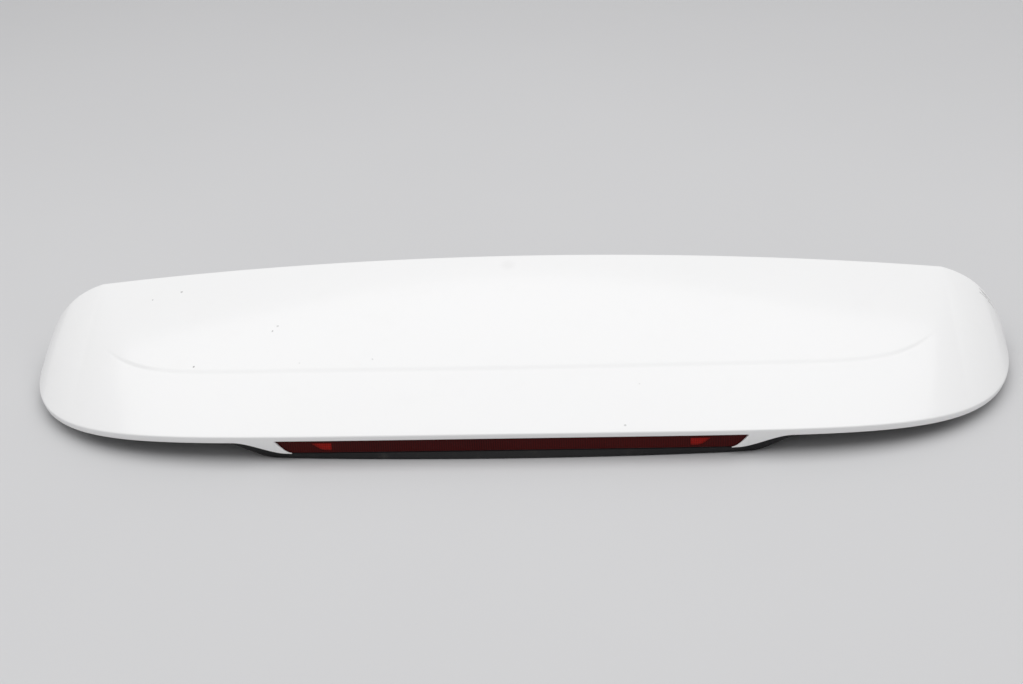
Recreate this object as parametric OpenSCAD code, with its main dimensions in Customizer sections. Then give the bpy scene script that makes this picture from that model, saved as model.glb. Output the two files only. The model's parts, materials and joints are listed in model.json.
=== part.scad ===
// Tailgate roof spoiler: a painted upper skin over a moulded lower shell, with a long
// brake lamp under its trailing edge and studs on the face that meets the tailgate.
// X runs across the vehicle, Y from the trailing edge (negative) to the leading edge, Z up.

/* [Outline] */
// Overall width across the two cheeks
span = 1173; // [1100:1:1300]
// Plan depth from the trailing edge to the leading edge
depth = 258; // [235:1:290]
// Height of the leading edge at the centre
lead_h = 129; // [115:1:150]
// Drop of the leading edge from its centre to its corners
lead_crown = 33; // [15:1:45]
// Distance by which the centre of the leading edge is set back
lead_bow = 12; // [0:1:25]
// Width of each cheek outside its corner of the leading edge
cheek_w = 74.5; // [60:0.5:95]
// Forward place of the cheek tips, from mid depth
tip_y = 99; // [70:1:110]
// Height of the cheek tips
tip_h = 15.5; // [8:0.5:20]
// Height of the trailing edge at the centre
trail_h = 34.2; // [32:0.2:44]

/* [Curvature] */
// Squareness of the rear corners in plan
corner_power = 5.6; // [4:0.1:8]
// Roundness of the trailing edge in plan
trail_power = 2.12; // [1.6:0.01:2.4]
// How late the trailing edge droops towards its ends
droop_power = 1.87; // [1.2:0.01:2.2]
// How fast the cheeks turn down
cheek_power = 1.64; // [1.2:0.01:2]
// Share of the cheek drop that starts right at the corner
cheek_ease = 0.47; // [0.2:0.01:0.6]
// Arch of the skin over its straight chord
skin_arch = 8; // [2:0.5:14]
// Radius of the crease at the leading corners
crease_r = 3; // [2:0.5:8]
// Growth of the crease radius over the depth
crease_spread = 80; // [40:5:120]

/* [Character line] */
// Distance of the line from the trailing edge at the centre
line_set = 80; // [60:0.5:100]
// Distance of each end of the line inside the leading corner
line_inset = 17; // [10:1:60]
// Gentle forward sweep of the line at its ends
line_bow = 16.5; // [5:0.5:30]
// Sharp forward sweep of the line at its ends
line_hook = 65; // [20:1:80]
// Step down behind the line
line_step = 1.2; // [0.4:0.1:2]
// Width of the step
line_w = 6; // [4:0.5:12]
// Share of the line over which the step fades out at each end
line_fade = 0.12; // [0.05:0.01:0.3]

/* [Upper skin] */
// Wall of the painted skin
skin_t = 3; // [2.5:0.1:4]
// Rounding of the outer edges
edge_r = 1.4; // [0.8:0.1:2]
// Turned-down lip along the leading edge
front_lip = 7; // [5:0.5:10]
// Height of the rear face on the wings
lip_h = 8.4; // [6:0.2:11]
// Share of the rear face's height that is lost at the cheek tips
lip_taper = 0.5; // [0.2:0.05:0.6]
// Forward lean of the rear face, per millimetre of height
lip_lean = 0.1; // [0:0.02:0.2]

/* [Lower shell] */
// Wall of the lower shell
shell_t = 2.5; // [2:0.1:3.2]
// Bond line between pieces that are glued or pushed together
bond_gap = 0.3; // [0.2:0.05:0.5]
// Distance of each end of the lower shell inside the leading corner
shell_inset = 12; // [6:1:20]
// Length of the pod's base beyond each lower corner of the lamp
pod_margin = 18; // [12:1:30]
// Length over which each end of the pod rises to the wing
pod_rise = 70; // [50:1:90]
// Bow of the pod's lower edge in plan
pod_bow = 7; // [0:0.5:9]
// Width of the glue flange under the leading edge
flange_w = 14.3; // [10:0.1:20]
// Space between the leading seal and that flange
flange_gap = 2.2; // [1.8:0.1:3]
// Angle of the mounting face from the base
mount_tilt = 54; // [50:1:60]
// Thickness of the gusset ribs
rib_t = 2.2; // [1.6:0.1:3]
// Leg length of the gusset ribs
rib_leg = 42; // [25:1:55]
// Distance between neighbouring gusset ribs
rib_pitch = 110; // [100:1:120]

/* [Brake lamp] */
// Half length of the lamp opening along its top
lamp_top = 260.5; // [247:0.5:266]
// Length by which each end of the opening is further out along its top than along its bottom
lamp_slope = 16.5; // [12:0.5:20]
// Height of the painted lip over the lamp
lamp_lip = 6.3; // [4:0.1:7]
// Height of the shell's lip under the lamp
lamp_sill = 8.6; // [7:0.1:9.5]
// Thickness of the foam gasket on that lip
gasket_t = 1.6; // [1:0.1:2]
// Length of the painted fin from its level tip to its root
fin_len = 62; // [50:1:80]
// Length of the fin's level tip
fin_flat = 4; // [2:0.5:8]
// Height of the fin's blunt tip
fin_tip_h = 0.5; // [0.3:0.1:1]
// Hollowness of the fin's edge beside the lamp
fin_power = 1.4; // [1:0.05:1.6]
// Reach of the lens behind the fin
lens_lap = 4; // [3.5:0.1:5]
// Thickness of the lens
lens_t = 2.2; // [1.8:0.1:2.8]
// Depth of the lamp housing behind the lens
housing_d = 20; // [18:0.5:26]
// Wall of the lamp housing
housing_t = 1.8; // [1.4:0.1:2.2]
// Number of light-emitting diodes
led_n = 24; // [12:1:24]
// Distance between neighbouring diodes
led_pitch = 19.5; // [17:0.1:19.8]
// Side of the square diode bodies
led_w = 5; // [3.5:0.1:5.2]
// Thickness of the diode bodies
led_t = 1.4; // [1:0.1:1.8]
// Thickness of the circuit board
board_t = 1.6; // [1:0.1:2]
// Wide radius of the reflector cups
cup_r = 7; // [6:0.1:7.3]
// Narrow radius of the reflector cups
cup_neck_r = 3.9; // [3.8:0.1:4.5]
// Depth of the reflector cups
cup_d = 8.5; // [6:0.5:9]
// Distance of each red window's upright side inside the lamp's lower corner
window_inset = 45.5; // [38:0.5:90]
// Length of each red window along its top
window_top = 23; // [15:1:28]
// Length of each red window along its bottom
window_bottom = 11.5; // [8:0.5:14]
// Height of the red windows' lower edge
window_z = 13.3; // [12.4:0.1:15]
// Height of the red windows
window_h = 9.5; // [6:0.1:11]

/* [Lamp fixings] */
// Distance of the inner lamp screws from the centre
screw_in_x = 75; // [60:1:90]
// Distance of the outer lamp screws inside the lamp's lower corner
screw_inset = 44; // [36:1:60]
// Distance of the outer ledges inside the lamp's lower corner
ledge_inset = 8; // [6:0.5:14]
// Diameter of the lamp screws
screw_d = 3.5; // [3:0.1:4]
// Head diameter of the lamp screws
screw_head_d = 7.5; // [6.5:0.1:8.5]
// Head height of the lamp screws
screw_head_h = 2.2; // [1.6:0.1:3]
// Space under the end of each screw, over the shell's base
screw_play = 1; // [0.5:0.1:2]
// Thickness of the housing tabs under the screw heads
tab_t = 2.4; // [2:0.1:3.2]
// Reach of the housing tabs behind the housing
tab_reach = 13; // [11:0.5:16]
// Width of the connector blades
blade_w = 2.8; // [2:0.1:3]
// Thickness of the connector blades
blade_t = 0.8; // [0.6:0.1:1]
// Free length of the connector blades
blade_len = 9; // [7:0.5:12]
// Place of the connector across the lamp
socket_x = 38; // [20:1:60]

/* [Tailgate fixings] */
// Distance of the inner studs from the centre
stud_in_x = 150; // [110:1:180]
// Distance of the outer studs inside the leading corner
stud_inset = 102; // [90:1:120]
// Height of the studs along the mounting face
stud_s = 80; // [70:1:90]
// Thread diameter of the studs
stud_d = 6; // [5:0.5:8]
// Free length of the studs outside their pads
stud_len = 22; // [15:1:24]
// Height and depth of the studs' end chamfer
stud_chamfer = 1; // [0.5:0.1:1.5]
// Diameter of the studs' shoulder in the wall
shoulder_d = 8; // [7.5:0.5:10]
// Diameter of the studs' plates
plate_d = 22; // [18:1:26]
// Thickness of the studs' plates
plate_t = 2; // [1.5:0.1:3]
// Diameter of the pads under studs and pins
pad_d = 32; // [28:1:36]
// Height of the pads over each side of the wall
pad_h = 3; // [2:0.2:4]
// Outer diameter of the foam rings
ring_d = 30; // [26:1:32]
// Inner diameter of the foam rings
ring_bore = 18; // [14:1:20]
// Thickness of the foam rings
ring_t = 4; // [3:0.5:6]
// Height of the locating pins along the mounting face
pin_s = 62; // [50:1:75]
// Diameter of the locating pins
pin_d = 8; // [6:0.5:10]
// Length of the locating pins
pin_len = 12; // [8:1:16]
// Distance of the end clips inside the leading corner
clip_inset = 44; // [36:1:60]
// Height of the end clips along the mounting face
clip_s = 66; // [55:1:75]
// Diameter of the clips' flange
clip_d = 16; // [13:1:18]
// Length of the clips outside their pads
clip_len = 15; // [12:1:18]
// Place of the cable grommet across the part
grommet_x = 60; // [45:1:80]
// Height of the cable grommet along the mounting face
grommet_s = 46; // [42:1:55]
// Bore of the cable grommet
grommet_bore = 8; // [5:0.5:10]
// Diameter of the hole that holds the grommet
grommet_hole = 20; // [17:0.5:22]
// Width of the grommet's flanges around its hole
grommet_rim = 3; // [2:0.5:4]

/* [Seals] */
// Width of the seal under the leading edge
seal_w = 6; // [5:0.5:8]
// Reach of the seals below the turned-down lip
seal_drop = 3; // [2:0.5:5]
// Width of the foam strip low on the mounting face
strip_w = 12; // [8:1:14]
// Height of the foam strip's lower edge along the mounting face
strip_s = 9; // [8:0.5:12]
// Distance of each end of the foam strip inside the shell's end
strip_inset = 20; // [10:1:40]
// Thickness of that foam strip
strip_t = 4; // [3:0.5:5]

/* [Hidden] */
$fn = 48;

half = span / 2;
front_y = depth / 2;
rear_y = -depth / 2;
corner_x = half - cheek_w;
lamp_bottom = lamp_top - lamp_slope;
corner_z = lead_h - lead_crown;
// The cheeks use the last part of the station range, up to end_v of their drop
flat_g = 0.7;
end_v = 0.97;
// The trailing edge's own curve ends this far outside the cheek, which blunts the tip
end_gap = 0.3;
fit_gap = 0.15;
// Sampling steps for slopes
step_g = 0.002;
step_t = 0.01;

function unit(v) = v / norm(v);
function clamp(s, low, high) = min(max(s, low), high);
function ease(s) = let (c = clamp(s, 0, 1)) c * c * (3 - 2 * c);
function mix(a, b, s) = a + (b - a) * s;

// Outline curves. A station g runs from -1 to 1 across the part, t from leading to trailing edge.
function cheek_v(g) = abs(g) <= flat_g ? 0 : end_v * (abs(g) - flat_g) / (1 - flat_g);
function cheek_x(v) = corner_x + cheek_w * (1 - pow(1 - v, cheek_power)) / (1 - pow(1 - end_v, cheek_power));
function station_x(g) = sign(g) * (abs(g) <= flat_g ? corner_x * abs(g) / flat_g : cheek_x(cheek_v(g)));
function station_at(x) = flat_g * x / corner_x;
function lead_point(g) = let (x = station_x(g), v = cheek_v(g), k = abs(x) / corner_x)
    v == 0
    ? [x, front_y - lead_bow * (1 - k * k), lead_h - lead_crown * k * k]
    : [x, tip_y + (front_y - tip_y) * sqrt(1 - v * v),
        corner_z - (corner_z - tip_h) * (cheek_ease * v + (1 - cheek_ease) * v * v)];
function trail_q(x) = 1 - pow(abs(x) / (half + end_gap), corner_power);
function trail_y(x) = tip_y - (tip_y - rear_y) * pow(trail_q(x), 1 / trail_power);
function trail_z(x) = trail_h - (trail_h - tip_h) * (1 - pow(trail_q(x), droop_power));
function trail_point(g) = let (x = station_x(g)) [x, trail_y(x), trail_z(x)];
function chord(g) = norm(lead_point(g) - trail_point(g));

// The crease at each leading corner is rounded more and more towards the rear
corner_break = cheek_ease * (corner_z - tip_h) / (cheek_power * cheek_w) - 2 * lead_crown / corner_x;
function crease(x, t) = let (d = abs(abs(x) - corner_x), r = crease_r + crease_spread * t)
    corner_break * (sqrt(d * d + r * r) - d) / 2 * pow(max(1 - d / cheek_w, 0), 2) * (1 - t);

// The character line, and the step behind it that fades towards the trailing edge and the ends
function line_k(x) = min(abs(x) / (corner_x - line_inset), 1);
function line_y(x) = rear_y + line_set + line_bow * pow(line_k(x), 2) + line_hook * pow(line_k(x), 10);
function line_drop(x, y, rear) = let (middle = line_y(x))
    middle <= rear + line_w ? 0
    : line_step * ease((1 - line_k(x)) / line_fade) * ease((middle - y) / line_w + 0.5)
        * clamp((y - rear) / (middle - rear), 0, 1);

function skin(g, t) = let (a = lead_point(g), b = trail_point(g), y = mix(a.y, b.y, t))
    [a.x, y, mix(a.z, b.z, t) + skin_arch * 4 * t * (1 - t) * (a.y - b.y) / depth
        - crease(a.x, t) - line_drop(a.x, y, b.y)];
function skin_normal(g, t) = unit(cross(
    skin(g, min(t + step_t, 1)) - skin(g, max(t - step_t, 0)),
    skin(min(g + step_g, 1), t) - skin(max(g - step_g, -1), t)));
function under(g, t, gap) = skin(g, t) - gap * skin_normal(g, t);

// Directions at the two long edges
function rear_inward(g) = let (
    d = trail_point(min(g + step_g, 1)) - trail_point(max(g - step_g, -1))) unit([-d.y, d.x, 0]);
function front_inward(g) = unit(skin(g, 0.05) - skin(g, 0));
function front_down(g) = let (n = skin_normal(g, 0)) unit([-n.x, min(-n.y, 0), -n.z]);

// Rear face: low over the lamp, long at the fins, and tapering on the wings
function wing_lip(x) = lip_h * (1 - lip_taper * pow(abs(x) / half, 8));
lens_z0 = lamp_sill + gasket_t;
function fin_z(x) = mix(lens_z0, trail_z(x) - wing_lip(x), ease((abs(x) - lamp_bottom - fin_flat) / fin_len));
function rear_drop(x) = abs(x) < lamp_top ? lamp_lip : max(wing_lip(x), trail_z(x) - fin_z(x));
function rear_face(g, drop) = trail_point(g) + rear_inward(g) * lip_lean * drop - [0, 0, drop];

// A solid from rows of points: outer[i][j] and inner[i][j] are the two faces of a wall
module wall(outer, inner) {
    n = len(outer);
    m = len(outer[0]);
    size = n * m;
    points = concat([for (row = outer) each row], [for (row = inner) each row]);
    function quad(a, b, c, d) = [[a, b, c], [a, c, d]];
    faces = concat(
        [for (i = [0:n - 2], j = [0:m - 2]) let (a = i * m + j)
            each quad(a, a + m, a + m + 1, a + 1)],
        [for (i = [0:n - 2], j = [0:m - 2]) let (a = size + i * m + j)
            each quad(a, a + 1, a + m + 1, a + m)],
        [for (i = [0:n - 2], e = [0, m - 1]) let (a = i * m + e, b = a + size)
            each e == 0 ? quad(a, b, b + m, a + m) : quad(a, a + m, b + m, b)],
        [for (j = [0:m - 2], e = [0, n - 1]) let (a = e * m + j, b = a + size)
            each e == 0 ? quad(a, a + 1, b + 1, b) : quad(a, b, b + 1, a + 1)]);
    polyhedron(points, faces, convexity = 8);
}

// A bar whose four corners at each station are low rear, low front, high rear and high front
module bar(sections) {
    wall([for (s = sections) [s[0], s[1]]], [for (s = sections) [s[2], s[3]]]);
}

// Stations across the skin, close together at the lamp's ends, the fins and the cheeks
lamp_g = [for (i = [0:6]) station_at(lamp_top * min(i / 6, 0.9998))];
fin_end = lamp_bottom + fin_flat + fin_len;
fin_g = [for (i = [0:8]) station_at(mix(lamp_top * 1.0002, fin_end, i / 8))];
wing_x0 = fin_end;
wing_g = [for (i = [1:9]) station_at(wing_x0 + (corner_x - wing_x0) * (1 - pow(1 - i / 9, 1.3)))];
cheek_g = [for (i = [1:13]) flat_g + (1 - flat_g) * i / 13];
side_g = concat(lamp_g, fin_g, wing_g, cheek_g);
skin_g = concat([for (i = [len(side_g) - 1:-1:1]) -side_g[i]], side_g);

// Rows from the leading to the trailing edge, with two rows along the character line
rows_front = 8;
rows_rear = 6;
function line_t(g) = let (a = lead_point(g), b = trail_point(g))
    clamp((a.y - line_y(a.x)) / (a.y - b.y), 0.4, 0.75);
function row_ts(g) = let (w = line_w / 2 / chord(g), c = line_t(g), e = edge_r / chord(g), w2 = min(w, 0.04))
    concat([for (i = [0:rows_front]) mix(e, c - w2, i / rows_front)],
        [for (i = [0:rows_rear]) mix(c + w2, 1 - e, i / rows_rear)]);
function skin_outer(g) = let (a = lead_point(g), b = trail_point(g), down = front_down(g))
    concat([a + down * front_lip, a + down * edge_r],
        [for (t = row_ts(g)) skin(g, t)],
        [rear_face(g, edge_r), rear_face(g, rear_drop(a.x))]);
function skin_inner(g) = let (a = lead_point(g), down = front_down(g), w = front_inward(g) * skin_t,
        v = rear_inward(g) * skin_t, e = skin_t / chord(g))
    concat([a + down * front_lip + w, under(g, e, skin_t) + down * 0.3],
        [for (t = row_ts(g)) under(g, mix(e, 1 - e, t), skin_t)],
        [rear_face(g, skin_t + 0.5) + v, rear_face(g, rear_drop(a.x)) + v]);

// Painted tip of the fin beside the lamp opening, from its point to the fin's root. It thins
// towards its point, because its face leans and the lens behind it is upright.
function fin_wall(drop) = min(skin_t, lens_y - bond_gap - lip_lean * drop) - fit_gap;
function fin_tip(side) = [for (i = [0:10]) let (
        x = mix(lamp_bottom, lamp_top + 2 * fin_tip_h, i / 10), g = station_at(side * x),
        up = pow(clamp((x - lamp_bottom) / (lamp_top - lamp_bottom), 0, 1), fin_power),
        top = mix(lens_z0 + fin_tip_h, trail_h - lamp_lip, up),
        high = trail_z(x) - top, low = trail_z(x) - fin_z(x),
        a = rear_face(g, high), b = rear_face(g, low), n = rear_inward(g))
    [b + n * fit_gap, b + n * fin_wall(low), a + n * fit_gap, a + n * fin_wall(high)]];

module upper_skin() {
    color("white") {
        wall([for (g = skin_g) skin_outer(g)], [for (g = skin_g) skin_inner(g)]);
        bar(fin_tip(1));
        bar([for (i = [10:-1:0]) fin_tip(-1)[i]]);
    }
}

// Lower shell. Its path runs down the rear wall, along the base, up the mounting face and
// along the glue flange; the mounting face has one angle everywhere.
shell_half = corner_x - shell_inset;
pod_half = lamp_bottom + pod_margin;
seal_set = skin_t + seal_w + 2 * bond_gap + flange_gap;
shell_set = skin_t + lip_lean * (trail_h - lens_z0) + bond_gap;
lens_slant = (lamp_top - lamp_bottom) / (trail_h - lamp_lip - lens_z0);
function pod(x) = ease((abs(x) - pod_half) / pod_rise);
function shell_top(x) = trail_z(x) - skin_t - 0.6;
function shell_low(x) = min(trail_z(x) - wing_lip(x) + 0.8, shell_top(x) - shell_t - 1) * pod(x);
function shell_high(x) = min(shell_top(x),
    max(lamp_sill, lens_z0 + (abs(x) - lamp_bottom - lens_lap - 2 * bond_gap) / lens_slant));
function flange_point(g, reach) = let (p = under(g, reach / chord(g), skin_t + bond_gap + shell_t))
    [station_x(g), p.y, p.z];
function wall_top(x) = flange_point(station_at(x), seal_set + flange_w);
function base_front(x) = let (p = wall_top(x)) p.y - p.z / tan(mount_tilt);
function base_rear(x) = trail_y(x) + shell_set
    + pod_bow * (pow(min(abs(x) / pod_half, 1), 2) - 0.42) * (1 - pod(x));
function shell_outer(x) = let (g = station_at(x))
    [[x, trail_y(x) + shell_set, shell_high(x)], [x, base_rear(x), shell_low(x)], [x, base_front(x), 0],
        wall_top(x), flange_point(g, seal_set)];
function turn_left(d) = [0, -d.z, d.y];
// Inner face of the shell: its upper rear corner moved straight in, and each other corner
// moved in by the wall along its two neighbouring sides
function shell_inner(p) = [for (i = [0:len(p) - 1]) let (
        a = turn_left(i == 0 ? [0, 0, -1] : unit(p[i] - p[i - 1])),
        b = i == 0 ? a : turn_left(unit(i == len(p) - 1 ? p[i] - p[i - 1] : p[i + 1] - p[i])))
    p[i] + (a + b) * shell_t / (1 + a * b)];
function shell_closed(x) = let (g = station_at(x), first = seal_set / chord(g),
        last = 1 - (shell_set + shell_t) / chord(g))
    [for (i = [0:4]) let (p = under(g, mix(last, first, i / 4), skin_t + 2 * bond_gap)) [x, p.y, p.z]];
// The lip under the lamp is level up to here, where it starts to rise beside the lens
sill_end = lamp_bottom + lens_lap + 2 * bond_gap - (lens_z0 - lamp_sill) * lens_slant;
shell_x = concat([for (i = [0:5]) sill_end * i / 5],
    [for (i = [1:4]) mix(sill_end, lamp_top + 8, i / 4)],
    [for (i = [1:6]) lamp_top + 8 + (pod_half + pod_rise - lamp_top - 8) * i / 6],
    [for (i = [1:6]) mix(pod_half + pod_rise, shell_half - shell_t, i / 6)]);
shell_all_x = concat([for (i = [len(shell_x) - 1:-1:1]) -shell_x[i]], shell_x);

module shell_tub() {
    ends = [shell_half, shell_half - shell_t + 0.02];
    wall(concat([for (x = ends) shell_outer(-x)], [for (x = shell_all_x) shell_outer(x)],
            [for (i = [1, 0]) shell_outer(ends[i])]),
        concat([for (x = ends) shell_closed(-x)], [for (x = shell_all_x) shell_inner(shell_outer(x))],
            [for (i = [1, 0]) shell_closed(ends[i])]));
}

// Places its children on the mounting face, with Z pointing out of the shell
module on_face(x, s) {
    translate([x, base_front(x) + s * cos(mount_tilt), s * sin(mount_tilt)])
        rotate([180 + mount_tilt, 0, 0]) children();
}

module on_both_sides(x, s) {
    for (side = [-1, 1]) on_face(side * x, s) children();
}

pad_back = shell_t + pad_h;
screw_y = rear_y + shell_set + housing_d + 0.5 * tab_reach + 1;
screw_xs = [-lamp_bottom + screw_inset, -screw_in_x, screw_in_x, lamp_bottom - screw_inset];
stud_out_x = corner_x - stud_inset;
pin_x = (stud_in_x + stud_out_x) / 2;
clip_x = corner_x - clip_inset;
boss_r = screw_d / 2 + 2.8;

module pad(d) {
    translate([0, 0, -pad_back]) cylinder(d = d, h = pad_back + pad_h);
}

module locating_pin() {
    cylinder(d = pin_d, h = pad_h + pin_len);
    translate([0, 0, pad_h + pin_len]) cylinder(d1 = pin_d, d2 = pin_d - 3, h = 2);
}

// Triangular rib in the corner between the base and the mounting face
module gusset(x) {
    y = base_front(x);
    t = mount_tilt;
    translate([x - rib_t / 2, 0, 0]) rotate([90, 0, 90]) linear_extrude(rib_t) polygon([
        [y - rib_leg, shell_t / 2], [y - shell_t / 2, shell_t / 2],
        [y + rib_leg * cos(t) - shell_t / 2, rib_leg * sin(t) + shell_t / 2]]);
}

module lower_shell() {
    color([0.09, 0.09, 0.1]) difference() {
        union() {
            shell_tub();
            on_both_sides(stud_in_x, stud_s) pad(pad_d);
            on_both_sides(stud_out_x, stud_s) pad(pad_d);
            on_both_sides(pin_x, pin_s) { pad(pad_d); locating_pin(); }
            on_both_sides(clip_x, clip_s) pad(clip_d + 6);
            on_face(grommet_x, grommet_s) pad(grommet_hole + 4 * grommet_rim);
            for (i = [-2:2]) gusset(i * rib_pitch);
            for (x = screw_xs) translate([x, screw_y, shell_t / 2])
                cylinder(r = boss_r, h = housing_z0 - shell_t / 2);
            for (i = [-2:2])
                translate([i * (lamp_bottom - ledge_inset) / 2 - rib_t / 2, rear_y + housing_y + 4, shell_t / 2])
                    cube([rib_t, housing_d - 5, housing_z0 - shell_t / 2]);
        }
        on_both_sides(stud_in_x, stud_s) pad_hole(shoulder_d);
        on_both_sides(stud_out_x, stud_s) pad_hole(shoulder_d);
        on_both_sides(clip_x, clip_s) pad_hole(clip_d - 8);
        on_face(grommet_x, grommet_s) pad_hole(grommet_hole);
        for (x = screw_xs) translate([x, screw_y, shell_t])
            cylinder(d = screw_d + 0.1, h = lens_z0);
    }
}

module pad_hole(d) {
    translate([0, 0, -pad_back - 1]) cylinder(d = d + 2 * fit_gap, h = pad_back + pad_h + 2);
}

// Seals. Each section is given by distances along and across the turned-down lip.
function seal_section(g, w, deep) = let (a = lead_point(g), e = front_inward(g), d = front_down(g),
        near = skin_t + bond_gap, far = near + w, high = skin_t + bond_gap + 0.2)
    [a + e * far + d * deep, a + e * near + d * deep, a + e * far + d * high, a + e * near + d * high];
function seal_run(g0, g1, n, w) = [for (i = [0:n]) seal_section(mix(g0, g1, i / n), w, front_lip + seal_drop)];

module leading_seal() {
    color([0.13, 0.13, 0.14]) bar(seal_run(-station_at(corner_x - 8), station_at(corner_x - 8), 28, seal_w));
}

module cheek_seal(side) {
    run = seal_run(side * (flat_g + 0.03), side * 0.94, 14, seal_w - 2);
    color([0.13, 0.13, 0.14]) bar(side > 0 ? run : [for (i = [14:-1:0]) run[i]]);
}

module cheek_seal_left() { cheek_seal(-1); }

module cheek_seal_right() { cheek_seal(1); }

function face_point(x, s, out) = [x, base_front(x) + s * cos(mount_tilt) + out * sin(mount_tilt),
    s * sin(mount_tilt) - out * cos(mount_tilt)];

module lower_seal() {
    near = bond_gap;
    far = bond_gap + strip_t;
    high = strip_s + strip_w;
    color([0.2, 0.2, 0.21]) bar([for (i = [0:20]) let (x = mix(-1, 1, i / 20) * (shell_half - strip_inset))
        [face_point(x, strip_s, near), face_point(x, strip_s, far),
            face_point(x, high, near), face_point(x, high, far)]]);
}

// Studs: a plate behind the wall, a shoulder in it and a threaded end outside
module stud() {
    translate([0, 0, -pad_back - plate_t]) cylinder(d = plate_d, h = plate_t);
    translate([0, 0, -pad_back]) cylinder(d = shoulder_d, h = pad_back + pad_h);
    translate([0, 0, pad_h]) cylinder(d = stud_d, h = stud_len);
    translate([0, 0, pad_h + stud_len])
        cylinder(d1 = stud_d, d2 = stud_d - 2 * stud_chamfer, h = stud_chamfer);
}

module mounting_studs() {
    color([0.75, 0.76, 0.78]) {
        on_both_sides(stud_in_x, stud_s) stud();
        on_both_sides(stud_out_x, stud_s) stud();
    }
}

module foam_ring() {
    translate([0, 0, pad_h]) difference() {
        cylinder(d = ring_d, h = ring_t);
        translate([0, 0, -1]) cylinder(d = ring_bore, h = ring_t + 2);
    }
}

module stud_foam_rings() {
    color([0.25, 0.25, 0.27]) {
        on_both_sides(stud_in_x, stud_s) foam_ring();
        on_both_sides(stud_out_x, stud_s) foam_ring();
    }
}

module end_clip() {
    neck = clip_d / 2 - 4;
    top = pad_h + clip_len;
    rotate_extrude() polygon([[0, -pad_back], [neck, -pad_back], [neck, pad_h], [clip_d / 2, pad_h],
        [clip_d / 2, pad_h + 1.6], [neck - 1, pad_h + 1.6], [neck - 1, top - 8], [neck + 0.5, top - 6.5],
        [neck + 0.5, top - 5.5], [2, top - 0.8], [0, top]]);
}

module end_clips() {
    color([0.9, 0.9, 0.86]) on_both_sides(clip_x, clip_s) end_clip();
}

module cable_grommet() {
    rim = grommet_hole / 2 + grommet_rim;
    color([0.11, 0.11, 0.12]) on_face(grommet_x, grommet_s) rotate_extrude() polygon([
        [grommet_bore / 2, -pad_back - 2.5], [rim - 1, -pad_back - 2.5], [rim, -pad_back - 1.5],
        [rim, -pad_back], [grommet_hole / 2, -pad_back], [grommet_hole / 2, pad_h],
        [rim, pad_h], [rim, pad_h + 1.5], [grommet_bore / 2 + 2.5, pad_h + 5],
        [grommet_bore / 2, pad_h + 5]]);
}

// Lamp pieces follow the trailing edge in plan and have the opening's slanted ends
// The lens clears the skin where its slanted ends pass the end of the lamp's lip
lens_y = skin_t + bond_gap
    + lip_lean * (trail_h - lens_z0 - (lamp_top - lamp_bottom - lens_lap) / lens_slant);
lens_top_z = trail_z(lamp_top) - skin_t - 0.6;
housing_y = lens_y + lens_t + fit_gap;
housing_z0 = lens_z0 + 0.4;
housing_z1 = lens_top_z - 0.6;
function end_x(z, inset) = lamp_bottom + lens_lap - inset + (z - lens_z0) * lens_slant;
module lamp_bar(y0, y1, z0, z1, inset) {
    n = 16;
    bar([for (i = [0:n]) let (f = mix(-1, 1, i / n), low = f * end_x(z0, inset), high = f * end_x(z1, inset))
        [[low, trail_y(low) + y0, z0], [low, trail_y(low) + y1, z0],
            [high, trail_y(high) + y0, z1], [high, trail_y(high) + y1, z1]]]);
}

module window_outline(grow) {
    polygon([[window_x - grow, window_z - grow], [window_x + window_bottom + 2 * grow, window_z - grow],
        [window_x + window_top + 2 * grow, window_z + window_h + grow],
        [window_x - grow, window_z + window_h + grow]]);
}

window_x = lamp_bottom - window_inset;
window_y = trail_y(window_x + window_top / 2) + lens_y;
module window_solid(side, grow, reach) {
    mirror([side < 0 ? 1 : 0, 0, 0]) translate([0, window_y + lens_t + reach, 0])
        rotate([90, 0, 0]) linear_extrude(lens_t + 2 * reach) window_outline(grow);
}

module lamp_lens() {
    color([0.24, 0.04, 0.05]) difference() {
        lamp_bar(lens_y, lens_y + lens_t, lens_z0 + 0.2, lens_top_z, 0);
        for (side = [-1, 1]) window_solid(side, fit_gap, 2);
    }
}

module side_window_left() { color([0.7, 0.08, 0.06]) window_solid(-1, 0, 0); }

module side_window_right() { color([0.7, 0.08, 0.06]) window_solid(1, 0, 0); }

module lamp_gasket() {
    color([0.08, 0.08, 0.09]) lamp_bar(housing_y, shell_set + shell_t - 0.1, lamp_sill, housing_z0, 4);
}

// Straight parts inside the housing are placed from its middle
board_y = rear_y + housing_y + housing_d - housing_t - 4.5;
inner_z0 = housing_z0 + housing_t;
inner_z1 = housing_z1 - housing_t;
led_z = (inner_z0 + inner_z1) / 2;
led_row = [for (i = [0:led_n - 1]) (i - (led_n - 1) / 2) * led_pitch];
row_half = led_row[led_n - 1] + led_pitch / 2;
back_y = rear_y + housing_y + housing_d;
socket_w = 2 * blade_w + 6;
socket_h = blade_t + 6;
blade_xs = [socket_x - blade_w / 2 - 1, socket_x + blade_w / 2 + 1];

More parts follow.
